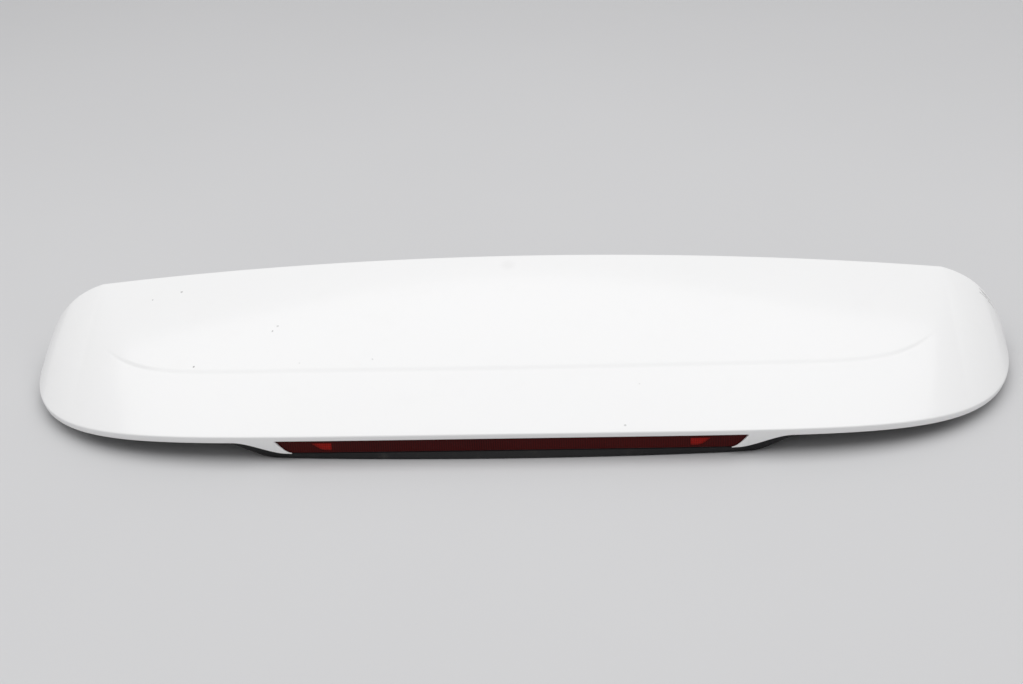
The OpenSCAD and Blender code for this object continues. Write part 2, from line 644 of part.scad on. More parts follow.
module lamp_housing() {
    color([0.12, 0.12, 0.13]) difference() {
        union() {
            lamp_bar(housing_y, housing_y + housing_d, housing_z0, housing_z1, 0.8);
            for (x = screw_xs) translate([x - boss_r - 1, back_y - 1, housing_z0])
                cube([2 * boss_r + 2, tab_reach, tab_t]);
            translate([socket_x - socket_w / 2 - 1.5, back_y - 1, led_z - socket_h / 2 - 1.5])
                cube([socket_w + 3, blade_len + 3, socket_h + 3]);
        }
        lamp_bar(housing_y - 1, housing_y + housing_d - housing_t, inner_z0, inner_z1, 0.8 + housing_t * 1.4);
        for (x = screw_xs) translate([x, screw_y, housing_z0 - 1])
            cylinder(d = screw_d + 0.8, h = tab_t + 2);
        translate([socket_x - socket_w / 2, back_y + 0.8, led_z - socket_h / 2])
            cube([socket_w, blade_len + 3, socket_h]);
        for (x = blade_xs) blade(x, 0.05);
    }
}

// Connector blade from the circuit board through the housing's rear wall
module blade(x, grow) {
    translate([x - blade_w / 2 - grow, board_y + board_t, led_z - blade_t / 2 - grow])
        cube([blade_w + 2 * grow, back_y + 0.8 + blade_len - board_y - board_t, blade_t + 2 * grow]);
}

module lamp_terminals() { color([0.8, 0.66, 0.3]) for (x = blade_xs) blade(x, 0); }

module lamp_reflector() {
    color([0.8, 0.8, 0.82]) difference() {
        translate([-row_half, board_y - cup_d - 0.3, inner_z0 + bond_gap])
            cube([2 * row_half, cup_d, inner_z1 - inner_z0 - 2 * bond_gap]);
        for (x = led_row) translate([x, board_y - 0.3, led_z]) rotate([90, 0, 0])
            translate([0, 0, -0.01]) cylinder(r1 = cup_neck_r, r2 = cup_r, h = cup_d + 0.02);
    }
}

module led_board() {
    color([0.1, 0.32, 0.16]) translate([-row_half, board_y, inner_z0 + bond_gap])
        cube([2 * row_half, board_t, inner_z1 - inner_z0 - 2 * bond_gap]);
}

module leds() {
    color([0.95, 0.92, 0.8]) for (x = led_row)
        translate([x - led_w / 2, board_y - led_t, led_z - led_w / 2]) cube([led_w, led_t, led_w]);
}

module lamp_screws() {
    color([0.7, 0.71, 0.73]) for (x = screw_xs) translate([x, screw_y, 0]) {
        translate([0, 0, housing_z0 + tab_t]) cylinder(d = screw_head_d, h = screw_head_h);
        translate([0, 0, shell_t + screw_play])
            cylinder(d = screw_d, h = housing_z0 + tab_t - shell_t - screw_play);
    }
}

upper_skin();
lower_shell();
leading_seal();
cheek_seal_left();
cheek_seal_right();
lower_seal();
mounting_studs();
stud_foam_rings();
end_clips();
cable_grommet();
lamp_housing();
lamp_lens();
side_window_left();
side_window_right();
lamp_gasket();
lamp_reflector();
led_board();
leds();
lamp_screws();
lamp_terminals();
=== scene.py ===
"""Looks of a tailgate roof spoiler with its brake lamp, seals and fixings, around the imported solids.

X runs across the vehicle, Y from the trailing edge (negative) to the leading edge, Z up.
"""

import json
import math

import bmesh
import bpy
from mathutils import Matrix, Vector


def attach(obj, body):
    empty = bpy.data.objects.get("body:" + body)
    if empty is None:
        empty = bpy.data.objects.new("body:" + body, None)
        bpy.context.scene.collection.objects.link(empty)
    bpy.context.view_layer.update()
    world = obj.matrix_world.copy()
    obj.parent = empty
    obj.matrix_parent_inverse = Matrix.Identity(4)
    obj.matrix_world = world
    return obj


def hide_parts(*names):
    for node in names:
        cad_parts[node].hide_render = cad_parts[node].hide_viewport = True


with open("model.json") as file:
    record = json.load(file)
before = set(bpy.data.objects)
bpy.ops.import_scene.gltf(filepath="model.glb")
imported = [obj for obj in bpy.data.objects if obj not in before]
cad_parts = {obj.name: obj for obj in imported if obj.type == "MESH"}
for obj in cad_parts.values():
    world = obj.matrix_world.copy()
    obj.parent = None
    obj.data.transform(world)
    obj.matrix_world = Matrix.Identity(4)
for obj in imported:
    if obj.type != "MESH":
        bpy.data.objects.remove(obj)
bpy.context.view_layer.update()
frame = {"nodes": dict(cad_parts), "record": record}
MM = 0.001

# Camera, at the photograph's viewing angle. The focal length is in pixels of a frame that is IMAGE_W wide.

FOCAL_PX, IMAGE_W, SENSOR_W = 1529.0, 1023.0, 36.0
CAM_PITCH, CAM_YAW, CAM_ROLL = math.radians(30.0), math.radians(3.85), math.radians(-2.997)
CAM_TARGET, CAM_DIST = Vector((-0.0006, 0.0, 0.0762)), 1.76534


def add_camera():
    back = Vector((math.sin(CAM_YAW) * math.cos(CAM_PITCH), -math.cos(CAM_YAW) * math.cos(CAM_PITCH),
                   math.sin(CAM_PITCH)))
    level = (-back).cross(Vector((0, 0, 1))).normalized()
    upright = level.cross(-back)
    right = level * math.cos(CAM_ROLL) + upright * math.sin(CAM_ROLL)
    up = upright * math.cos(CAM_ROLL) - level * math.sin(CAM_ROLL)
    place = CAM_TARGET + back * CAM_DIST
    data = bpy.data.cameras.new("camera")
    data.sensor_fit = "HORIZONTAL"
    data.sensor_width = SENSOR_W
    data.lens = FOCAL_PX * SENSOR_W / IMAGE_W
    camera = bpy.data.objects.new("camera", data)
    camera.matrix_world = Matrix(
        [[right[i], up[i], back[i], place[i]] for i in range(3)] + [[0, 0, 0, 1]])
    bpy.context.scene.collection.objects.link(camera)
    bpy.context.scene.camera = camera


add_camera()

# Outline, in millimetres like all sizes and places below

SPAN = 1173.0  # overall width across the two cheeks
DEPTH = 258.0  # from the trailing edge to the leading edge
LEAD_H = 129.0  # height of the leading edge at the centre
LEAD_CROWN = 33.0  # its drop from the centre to its corners
LEAD_BOW = 12.0  # distance by which its centre is set back
CHEEK_W = 74.5  # width of each cheek outside its corner
TIP_Y = 99.0  # forward place of the cheek tips, from mid depth
TIP_H = 15.5  # height of the cheek tips
TRAIL_H = 34.2  # height of the trailing edge at the centre
CORNER_POWER = 5.6  # squareness of the rear corners in plan
TRAIL_POWER = 2.12  # roundness of the trailing edge in plan
DROOP_POWER = 1.87  # how late the trailing edge droops towards its ends
CHEEK_POWER = 1.64  # how fast the cheeks turn down
CHEEK_EASE = 0.47  # share of the cheek drop that starts right at the corner
SKIN_ARCH = 8.0  # arch of the skin over its straight chord
CREASE_R = 3.0  # radius of the crease at the leading corners
CREASE_SPREAD = 80.0  # growth of that radius over the depth
LINE_SET = 80.0  # distance of the character line from the trailing edge at the centre
LINE_INSET = 17.0  # distance of its ends inside the leading corners
LINE_BOW = 16.5  # gentle forward sweep at its ends
LINE_HOOK = 65.0  # sharp forward sweep at its ends
LINE_STEP = 1.2  # step down behind the line
LINE_W = 6.0  # width of that step
LINE_FADE = 0.12  # share of the line over which the step fades out at each end

# Skin and shell

SKIN_T = 3.0  # wall of the painted skin
EDGE = 1.7  # rounding of its long outer edges
LIP_EDGE, LOW_EDGE = 1.2, 0.9  # rounding under the front lip, and of the other lower edges
FRONT_LIP = 7.0  # turned-down lip along the leading edge
LIP_H = 8.4  # height of the rear face on the wings
LIP_TAPER = 0.5  # share of that height that is lost at the cheek tips
LIP_LEAN = 0.1  # forward lean of the rear face, per millimetre of height
SHELL_T = 2.5  # wall of the lower shell
SHELL_EDGE = 1.2  # rounding of its outer edges
BASE_ROUND, FLANGE_ROUND = 5.0, 4.0  # rounding at the mounting face's foot and top
BOND_GAP = 0.3  # bond line between pieces that are glued or pushed together
SHELL_INSET = 12.0  # distance of each end of the shell inside the leading corner
TOP_PLAY = 0.6  # space between the skin's wall and the top of the shell and of the lens
WING_LIFT = 0.8  # height of the shell's edge over the rear face's lower edge, on the wings
WING_PLAY = 1.0  # least height of that edge's end face, over the wall
POD_MARGIN = 18.0  # length of the pod's base beyond each lower corner of the lamp
POD_RISE = 70.0  # length over which each end of the pod rises to the wing
POD_BOW, POD_BACK = 7.0, 0.42  # bow of the pod's lower edge in plan, and the share of it to the rear
FLANGE_W = 14.3  # width of the glue flange under the leading edge
FLANGE_GAP = 2.2  # space between the leading seal and that flange
MOUNT_TILT = math.radians(54.0)  # angle of the mounting face from the base

# Brake lamp

LAMP_TOP, LAMP_BOTTOM = 260.5, 244.0  # half length of the lamp opening along its top and bottom
LAMP_LIP = 6.3  # height of the painted lip over the lamp
LAMP_SILL = 8.6  # height of the shell's lip under the lamp
GASKET_T = 1.6  # thickness of the foam gasket on that lip
LENS_T = 2.2  # thickness of the lens
LENS_LAP = 4.0  # reach of the lens behind the fin
FIN_LEN = 62.0  # length of the painted fin from its level tip to its root
FIN_FLAT = 4.0  # length of its level tip
FIN_TIP_H = 0.6  # height of that tip
FIN_POWER = 1.6  # hollowness of its edge beside the lamp
FIN_EDGE = 0.7  # rounding of its edges
FIN_LAP = 0.4  # reach of its two ends, and its least height
FIN_MEET = 0.2  # overlap of its point with the lip over the lamp
OPEN_SIDE = LAMP_TOP + 1.0  # half length of the opening at its blunt upper corners
CORNER_R = 1.5  # radius of those corners
WINDOW_X = LAMP_BOTTOM - 45.5  # place of each red window's upright side
WINDOW_TOP, WINDOW_BOTTOM = 23.0, 11.5  # length of each window along its top and bottom
WINDOW_Z, WINDOW_H = 13.3, 9.5  # height of the windows' lower edge, and their own height
WINDOW_ROUND, WINDOW_BEVEL = 0.8, 0.5  # rounding of their corners, and bevel of their faces
WINDOW_PLAY = 0.15  # space round each window in its hole

# Seals

SEAL_W = 6.0  # width of the seal under the leading edge
CHEEK_SEAL_W = 4.0  # width of the seals along the cheeks
SEAL_DROP = 3.0  # reach of the seals below the turned-down lip
SEAL_END = 8.0  # distance of the leading seal's ends inside the leading corners
STRIP_W, STRIP_T = 12.0, 4.0  # width and thickness of the foam strip low on the mounting face
STRIP_S = 9.0  # height of its lower edge along that face
STRIP_INSET = 20.0  # distance of its ends inside the shell's ends

# Fixings. Heights are along the mounting face, and R stands for a radius.

AXIS_R = 0.001  # closes a turned form on its axis
FIT_GAP = 0.15  # space round a shank in its hole
PAD_R, PAD_H, PAD_DEEP = 16.0, 3.0, 5.0  # pads under studs and pins: height, and depth in the wall
PAD_DRAFT, PAD_EDGE, PAD_MARGIN = 1.2, 0.9, 3.0  # their slope and rounding, and reach round a flange
PAD_BACK = SHELL_T + PAD_H  # depth of the pads' inner face behind the mounting face
STUD_IN_X, STUD_INSET, STUD_S = 150.0, 102.0, 80.0  # inner studs, outer studs inside the corner, height
STUD_R, STUD_LEN, STUD_CHAMFER = 3.0, 22.0, 1.0  # threaded ends of the studs
SHOULDER_R, PLATE_R, PLATE_T = 4.0, 11.0, 2.0  # shoulders and plates of the studs
THREAD_PITCH, THREAD_DEPTH, THREAD_ROWS = 1.0, 0.55, 7  # the thread, and its rows of points per turn
RING_R, RING_BORE_R, RING_T = 15.0, 9.0, 4.0  # foam rings round the studs
PIN_S, PIN_R, PIN_LEN, PIN_TAPER = 62.0, 4.0, 12.0, 2.0  # locating pins, and the length of their cone
CLIP_INSET, CLIP_S = 44.0, 66.0  # end clips inside the leading corner, and their height
CLIP_R, CLIP_NECK_R, CLIP_LEN = 8.0, 4.0, 15.0  # flange, neck and free length of the clips
GROMMET_X, GROMMET_S = 60.0, 46.0  # place of the cable grommet across the part, and its height
GROMMET_R, GROMMET_BORE_R, GROMMET_RIM = 10.0, 4.0, 3.0  # its body, its bore and its flanges' width

# Derived values

HALF, FRONT_Y, REAR_Y = SPAN / 2, DEPTH / 2, -DEPTH / 2
CORNER_X, CORNER_Z = HALF - CHEEK_W, LEAD_H - LEAD_CROWN
# The cheeks use the last part of the station range, up to END_V of their drop
FLAT_G, END_V = 0.7, 0.97
# The trailing edge's own curve ends this far outside the cheek, which blunts the tip
END_GAP = 0.3
# Sampling steps for slopes across the part and down a chord, and for the leading edge's direction
STEP_G, STEP_T, FRONT_T = 0.002, 0.01, 0.05


def clamp(s, low=0.0, high=1.0):
    return min(max(s, low), high)


def ease(s):
    s = clamp(s)
    return s * s * (3 - 2 * s)


def mix(a, b, s):
    return a + (b - a) * s


def spread(low, high, n):
    """n + 1 even values from low to high."""
    return [mix(low, high, i / n) for i in range(n + 1)]


# Outline curves. A station g runs from -1 to 1 across the part, t from leading to trailing edge.

def cheek_v(g):
    return 0.0 if abs(g) <= FLAT_G else END_V * (abs(g) - FLAT_G) / (1 - FLAT_G)


def station_x(g):
    if abs(g) <= FLAT_G:
        return CORNER_X * g / FLAT_G
    v = cheek_v(g)
    x = CORNER_X + CHEEK_W * (1 - (1 - v) ** CHEEK_POWER) / (1 - (1 - END_V) ** CHEEK_POWER)
    return math.copysign(x, g)


def station_at(x):
    return FLAT_G * x / CORNER_X


def lead(g):
    x, v = station_x(g), cheek_v(g)
    if v == 0:
        k = x / CORNER_X
        return Vector((x, FRONT_Y - LEAD_BOW * (1 - k * k), LEAD_H - LEAD_CROWN * k * k))
    return Vector((x, TIP_Y + (FRONT_Y - TIP_Y) * math.sqrt(1 - v * v),
                   CORNER_Z - (CORNER_Z - TIP_H) * (CHEEK_EASE * v + (1 - CHEEK_EASE) * v * v)))


def trail_q(x):
    return 1 - (abs(x) / (HALF + END_GAP)) ** CORNER_POWER


def trail_y(x):
    return TIP_Y - (TIP_Y - REAR_Y) * trail_q(x) ** (1 / TRAIL_POWER)


def trail_z(x):
    return TRAIL_H - (TRAIL_H - TIP_H) * (1 - trail_q(x) ** DROOP_POWER)


def trail(g):
    x = station_x(g)
    return Vector((x, trail_y(x), trail_z(x)))


def chord(g):
    return (lead(g) - trail(g)).length


CORNER_BREAK = CHEEK_EASE * (CORNER_Z - TIP_H) / (CHEEK_POWER * CHEEK_W) - 2 * LEAD_CROWN / CORNER_X


def crease(x, t):
    """Depth of the rounding at the leading corners, wider and wider towards the rear."""
    d, r = abs(abs(x) - CORNER_X), CREASE_R + CREASE_SPREAD * t
    return CORNER_BREAK * (math.sqrt(d * d + r * r) - d) / 2 * max(1 - d / CHEEK_W, 0) ** 2 * (1 - t)


def line_k(x):
    return min(abs(x) / (CORNER_X - LINE_INSET), 1.0)


def line_y(x):
    return REAR_Y + LINE_SET + LINE_BOW * line_k(x) ** 2 + LINE_HOOK * line_k(x) ** 10


def line_drop(x, y, rear):
    """The step behind the character line, which fades towards the trailing edge and the ends."""
    middle = line_y(x)
    if middle <= rear + LINE_W:
        return 0.0
    return (LINE_STEP * ease((1 - line_k(x)) / LINE_FADE) * ease((middle - y) / LINE_W + 0.5)
            * clamp((y - rear) / (middle - rear)))


def skin(g, t):
    a, b = lead(g), trail(g)
    y = mix(a.y, b.y, t)
    return Vector((a.x, y, mix(a.z, b.z, t) + SKIN_ARCH * 4 * t * (1 - t) * (a.y - b.y) / DEPTH
                   - crease(a.x, t) - line_drop(a.x, y, b.y)))


def normal(g, t):
    return (skin(g, min(t + STEP_T, 1)) - skin(g, max(t - STEP_T, 0))).cross(
        skin(min(g + STEP_G, 1), t) - skin(max(g - STEP_G, -1), t)).normalized()


def under(g, t, gap):
    return skin(g, t) - normal(g, t) * gap


def rear_inward(g):
    d = trail(min(g + STEP_G, 1)) - trail(max(g - STEP_G, -1))
    return Vector((-d.y, d.x, 0)).normalized()


def front_inward(g):
    return (skin(g, FRONT_T) - skin(g, 0)).normalized()


def front_down(g):
    n = normal(g, 0)
    return Vector((-n.x, min(-n.y, 0), -n.z)).normalized()


# Rear face: low over the lamp, long at the fins, and tapering on the wings

LENS_Z0 = LAMP_SILL + GASKET_T


def wing_lip(x):
    return LIP_H * (1 - LIP_TAPER * (abs(x) / HALF) ** 8)


def fin_z(x):
    return mix(LENS_Z0, trail_z(x) - wing_lip(x), ease((abs(x) - LAMP_BOTTOM - FIN_FLAT) / FIN_LEN))


def rear_drop(x):
    return LAMP_LIP if abs(x) < OPEN_SIDE else max(wing_lip(x), trail_z(x) - fin_z(x))


def rear_face(g, drop):
    return trail(g) + rear_inward(g) * LIP_LEAN * drop - Vector((0, 0, drop))


# Places of the lens, the shell and the fixings

LENS_SLANT = (LAMP_TOP - LAMP_BOTTOM) / (TRAIL_H - LAMP_LIP - LENS_Z0)
LENS_Y = SKIN_T + BOND_GAP + LIP_LEAN * (TRAIL_H - LENS_Z0 - (LAMP_TOP - LAMP_BOTTOM - LENS_LAP) / LENS_SLANT)
SEAL_SET = SKIN_T + SEAL_W + 2 * BOND_GAP + FLANGE_GAP
SHELL_SET = SKIN_T + LIP_LEAN * (TRAIL_H - LENS_Z0) + BOND_GAP
SHELL_HALF = CORNER_X - SHELL_INSET
SILL_END = LAMP_BOTTOM + LENS_LAP + 2 * BOND_GAP - (LENS_Z0 - LAMP_SILL) * LENS_SLANT
POD_HALF = LAMP_BOTTOM + POD_MARGIN
FIN_END = LAMP_BOTTOM + FIN_FLAT + FIN_LEN
STUD_OUT_X, CLIP_X = CORNER_X - STUD_INSET, CORNER_X - CLIP_INSET
PIN_X = (STUD_IN_X + STUD_OUT_X) / 2


def shell_top(x):
    return trail_z(x) - SKIN_T - TOP_PLAY


def pod(x):
    return ease((abs(x) - POD_HALF) / POD_RISE)


def shell_low(x):
    return min(trail_z(x) - wing_lip(x) + WING_LIFT, shell_top(x) - SHELL_T - WING_PLAY) * pod(x)


def shell_high(x):
    return min(shell_top(x), max(LAMP_SILL, LENS_Z0 + (
        abs(x) - LAMP_BOTTOM - LENS_LAP - 2 * BOND_GAP) / LENS_SLANT))


def flange_point(g, reach):
    p = under(g, reach / chord(g), SKIN_T + BOND_GAP + SHELL_T)
    return Vector((station_x(g), p.y, p.z))


def wall_top(x):
    return flange_point(station_at(x), SEAL_SET + FLANGE_W)


def base_front(x):
    p = wall_top(x)
    return p.y - p.z / math.tan(MOUNT_TILT)


def base_rear(x):
    bow = POD_BOW * (min(abs(x) / POD_HALF, 1) ** 2 - POD_BACK) * (1 - pod(x))
    return trail_y(x) + SHELL_SET + bow


def face_point(x, s, out):
    """A point on the mounting face at (x, s), or out from it."""
    c, n = math.cos(MOUNT_TILT), math.sin(MOUNT_TILT)
    return Vector((x, base_front(x) + s * c + out * n, s * n - out * c))


# Mesh helpers. Points are in millimetres, and a shape is a list of vertices with a list of faces.

def rounded(p, c, q, r, n):
    """Points of a soft corner at c between its neighbours p and q."""
    a = c + (p - c).normalized() * min(r, (p - c).length / 2)
    b = c + (q - c).normalized() * min(r, (q - c).length / 2)
    return [a * (1 - s) ** 2 + c * 2 * s * (1 - s) + b * s * s for s in (i / n for i in range(n + 1))]


def soft_loop(corners, radii, n):
    """A closed outline with a radius at each corner."""
    loop = []
    for k, r in enumerate(radii):
        loop += rounded(corners[k - 1], corners[k], corners[(k + 1) % len(corners)], r, n)
    return loop


def soft_profile(points, r, n=3):
    """The (radius, distance) points of a turned form, with each inner corner softened."""
    v = [Vector((a, b, 0)) for a, b in points]
    out = [v[0]]
    for i in range(1, len(v) - 1):
        out += rounded(v[i - 1], v[i], v[i + 1], r, n)
    out.append(v[-1])
    return [(p.x, p.y) for p in out]


def loft(rings):
    """A closed tube through rings of points, with a face over each end."""
    m = len(rings[0])
    verts = [p for ring in rings for p in ring]
    faces = []
    for i in range(len(rings) - 1):
        for j in range(m):
            k = (j + 1) % m
            faces.append((i * m + j, i * m + k, (i + 1) * m + k, (i + 1) * m + j))
    faces.append(tuple(range(m))[::-1])
    faces.append(tuple((len(rings) - 1) * m + j for j in range(m)))
    return verts, faces


def turned(profile, x, s, n=64, ripple=None):
    """A turned form on the mounting face at (x, s). profile holds (radius, distance out of the face)."""
    centre = face_point(x, s, 0)
    axis = (face_point(x, s, 1) - centre).normalized()
    side = Vector((1, 0, 0))
    other = axis.cross(side)
    m = len(profile)
    verts, faces = [], []
    for i in range(n):
        a = 2 * math.pi * i / n
        for r, z in profile:
            rr = r if ripple is None else ripple(r, z, a)
            verts.append(centre + axis * z + (side * math.cos(a) + other * math.sin(a)) * rr)
        k = (i + 1) % n
        for j in range(m - 1):
            faces.append((i * m + j, i * m + j + 1, k * m + j + 1, k * m + j))
    return verts, faces


def piece(name, shapes, slot, *nodes, sharp=35.0):
    """One object from its shapes, riding on the root body, in its slot's material."""
    bm = bmesh.new()
    for verts, faces in shapes:
        made = [bm.verts.new(Vector(v) * MM) for v in verts]
        for f in faces:
            bm.faces.new([made[i] for i in f])
    bmesh.ops.remove_doubles(bm, verts=bm.verts, dist=0.003 * MM)
    bmesh.ops.recalc_face_normals(bm, faces=bm.faces)
    mesh = bpy.data.meshes.new(name)
    bm.to_mesh(mesh)
    bm.free()
    for p in mesh.polygons:
        p.use_smooth = True
    mesh.set_sharp_from_angle(angle=math.radians(sharp))
    mesh.materials.append(SLOTS[slot])
    obj = bpy.data.objects.new(name, mesh)
    bpy.context.scene.collection.objects.link(obj)
    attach(obj, "root")
    if nodes:
        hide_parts(*nodes)
    return obj


# Materials. Distances in their nodes are in metres.

class Nodes:
    """Small helper to write node materials."""

    def __init__(self, name):
        self.mat = bpy.data.materials.new(name)
        self.mat.use_nodes = True
        self.tree = self.mat.node_tree
        self.bsdf = next(n for n in self.tree.nodes if n.type == "BSDF_PRINCIPLED")
        self.coords = self.add("ShaderNodeTexCoord").outputs["Object"]

    def add(self, kind, **values):
        node = self.tree.nodes.new(kind)
        for key, value in values.items():
            setattr(node, key, value)
        return node

    def link(self, a, b):
        self.tree.links.new(a, b)

    def put(self, socket, value):
        if isinstance(value, bpy.types.NodeSocket):
            self.link(value, socket)
        else:
            socket.default_value = value

    def noise(self, scale, detail=3.0, rough=0.5, output="Fac"):
        n = self.add("ShaderNodeTexNoise")
        n.inputs["Scale"].default_value = scale
        n.inputs["Detail"].default_value = detail
        n.inputs["Roughness"].default_value = rough
        self.link(self.coords, n.inputs["Vector"])
        return n.outputs[output]

    def cells(self, scale):
        n = self.add("ShaderNodeTexVoronoi", feature="F1")
        n.inputs["Scale"].default_value = scale
        self.link(self.coords, n.inputs["Vector"])
        return n.outputs["Distance"]

    def math(self, op, a, b=None, use_clamp=False):
        n = self.add("ShaderNodeMath", operation=op, use_clamp=use_clamp)
        self.put(n.inputs[0], a)
        if b is not None:
            self.put(n.inputs[1], b)
        return n.outputs[0]

    def vec(self, op, a, b=None, scale=None):
        n = self.add("ShaderNodeVectorMath", operation=op)
        self.put(n.inputs[0], a)
        if b is not None:
            self.put(n.inputs[1], b)
        if scale is not None:
            self.put(n.inputs["Scale"], scale)
        return n.outputs["Value" if op in ("LENGTH", "DISTANCE", "DOT_PRODUCT") else "Vector"]

    def ramp(self, fac, low, high, to_low=0.0, to_high=1.0):
        n = self.add("ShaderNodeMapRange", interpolation_type="SMOOTHSTEP")
        self.put(n.inputs["Value"], fac)
        for key, value in (("From Min", low), ("From Max", high), ("To Min", to_low), ("To Max", to_high)):
            self.put(n.inputs[key], value)
        return n.outputs["Result"]

    def blend(self, fac, a, b):
        n = self.add("ShaderNodeMix", data_type="RGBA")
        self.put(n.inputs["Factor"], fac)
        self.put(n.inputs[6], a)
        self.put(n.inputs[7], b)
        return n.outputs[2]

    def bump(self, height, strength, distance, below=None):
        n = self.add("ShaderNodeBump")
        n.inputs["Strength"].default_value = strength
        n.inputs["Distance"].default_value = distance
        self.link(height, n.inputs["Height"])
        if below is not None:
            self.link(below, n.inputs["Normal"])
        return n.outputs["Normal"]

    def set(self, **values):
        for key, value in values.items():
            self.put(self.bsdf.inputs[key.replace("_", " ")], value)

    def separate(self):
        n = self.add("ShaderNodeSeparateXYZ")
        self.link(self.coords, n.inputs[0])
        return n.outputs

    def near_line(self, a, b, radius, soft=0.5):
        """1 near the segment from a to b, in millimetres, fading over soft of the radius."""
        a, b = Vector(a) * MM, Vector(b) * MM
        to = self.vec("SUBTRACT", self.coords, tuple(a))
        along = b - a
        share = self.math("DIVIDE", self.vec("DOT_PRODUCT", to, tuple(along)), along.length_squared,
                          use_clamp=True)
        rest = self.vec("SUBTRACT", to, self.vec("SCALE", tuple(along), scale=share))
        return self.ramp(self.vec("LENGTH", rest), radius * MM * (1 + soft), radius * MM * (1 - soft))

    def strongest(self, marks):
        top = marks[0]
        for mark in marks[1:]:
            top = self.math("MAXIMUM", top, mark)
        return top


def rgb(r, g, b):
    return (r, g, b, 1.0)


# Specks and chips that lie on the paint: x, y, radius and darkness
SPECKS = [(-404.4, 92.6, 1.5, 0.45), (-439.2, 84.8, 1.1, 0.45), (-275.1, 19.9, 1.6, 0.28),
          (-280.1, 12.8, 1.2, 0.38), (-367.2, -30.5, 1.3, 0.6), (-242.3, -35.4, 1.1, 0.14),
          (-158.1, -34.0, 1.1, 0.24), (127.4, -120.6, 1.3, 0.33), (144.4, -71.1, 1.0, 0.14)]
# Scuff strokes by the edge of the right cheek: two ends, half width and darkness
SCUFFS = [((558.5, 119.3, 68.8), (565.3, 116.7, 61.7), 0.9, 0.68),
          ((557.2, 112.4, 68.1), (566.3, 112.2, 59.5), 0.8, 0.70),
          ((564.3, 117.4, 63.0), (572.4, 116.1, 53.4), 1.0, 0.78),
          ((565.6, 113.6, 60.7), (570.3, 110.7, 54.6), 0.8, 0.70),
          ((567.5, 109.0, 57.4), (575.1, 109.7, 48.1), 0.8, 0.72),
          ((560.0, 118.1, 67.2), (563.2, 115.0, 63.4), 0.7, 0.50),
          ((571.4, 112.2, 53.7), (575.3, 112.3, 48.4), 0.6, 0.50)]
# Grey haze around those strokes: two ends, half width and softness
HAZE = ((561, 116, 66), (578, 108, 44), 5.5, 0.8)
# Faint smudge by the leading edge: its place in plan, and its inner and outer radius in metres
SMUDGE, SMUDGE_IN, SMUDGE_OUT = (-7.2, 100.6), 0.002, 0.012


def surface_at(x, y):
    """The point of the upper surface over a place in plan, in metres."""
    g = station_at(x)
    a, b = lead(g), trail(g)
    return tuple(skin(g, (a.y - y) / (a.y - b.y)) * MM)


def paint_white(name):
    """White clear-coated paint with a thin grey film, specks, one smudge and a scuffed cheek."""
    m = Nodes(name)
    film = m.ramp(m.noise(26.0, 5.0, 0.62), 0.5, 0.9)
    colour = m.blend(m.noise(3.0), rgb(0.87, 0.87, 0.865), rgb(0.89, 0.89, 0.888))
    colour = m.blend(m.math("MULTIPLY", film, 0.06), colour, rgb(0.66, 0.65, 0.62))
    uneven = m.vec("SUBTRACT", m.noise(420.0, 2.0, output="Color"), (0.5, 0.5, 0.5))
    moved = m.vec("ADD", m.coords, m.vec("SCALE", uneven, scale=0.0022))
    specks = []
    for x, y, r, dark in SPECKS:
        away = m.vec("DISTANCE", moved, surface_at(x, y))
        specks.append(m.math("MULTIPLY", m.ramp(away, r * 1.25 * MM, r * 0.55 * MM), dark))
    strokes = [m.math("MULTIPLY", m.near_line(a, b, r), dark) for a, b, r, dark in SCUFFS]
    worn = m.math("MULTIPLY", m.strongest(strokes), m.ramp(m.noise(900.0, 2.0), 0.3, 0.6))
    marks = m.math("MAXIMUM", m.strongest(specks), worn)
    haze = m.math("MULTIPLY", m.near_line(*HAZE), m.ramp(m.noise(150.0, 4.0, 0.7), 0.35, 0.75))
    colour = m.blend(m.math("MULTIPLY", haze, 0.16), colour, rgb(0.50, 0.47, 0.45))
    smudge = m.ramp(m.vec("DISTANCE", m.coords, surface_at(*SMUDGE)), SMUDGE_OUT, SMUDGE_IN)
    colour = m.blend(m.math("MULTIPLY", smudge, 0.12), colour, rgb(0.55, 0.54, 0.52))
    colour = m.blend(marks, colour, rgb(0.06, 0.055, 0.05))
    peel = m.noise(330.0, 2.0, 0.45)
    m.set(Base_Color=colour, Roughness=m.ramp(film, 0.0, 1.0, 0.34, 0.42), Coat_Weight=0.5,
          Coat_Roughness=0.12, Coat_IOR=1.5, Specular_IOR_Level=0.4,
          Normal=m.bump(peel, 0.05, 0.0006, m.bump(marks, 0.4, 0.0004)))
    return m.mat


def moulded(name, dark, light, rough, grain=900.0, depth=0.00012, dust=0.12, gloss=0.4):
    """Moulded plastic: fine grain, uneven sheen, a little dust."""
    m = Nodes(name)
    blotch = m.noise(14.0, 4.0, 0.6)
    specks = m.ramp(m.noise(1500.0, 2.0), 0.62, 0.78)
    film = m.ramp(m.noise(38.0, 5.0, 0.7), 0.5, 0.8)
    colour = m.blend(blotch, rgb(*dark), rgb(*light))
    colour = m.blend(m.math("MULTIPLY", film, dust), colour, rgb(0.30, 0.28, 0.25))
    colour = m.blend(m.math("MULTIPLY", specks, dust), colour, rgb(0.42, 0.39, 0.35))
    fine = m.noise(grain * 1.7, 2.0)
    height = m.math("ADD", m.math("MULTIPLY", m.cells(grain), 0.8), m.math("MULTIPLY", fine, 0.5))
    m.set(Base_Color=colour, Roughness=m.ramp(blotch, 0.25, 0.75, rough - 0.07, rough + 0.08),
          Specular_IOR_Level=gloss, Normal=m.bump(height, 0.55, depth))
    return m.mat


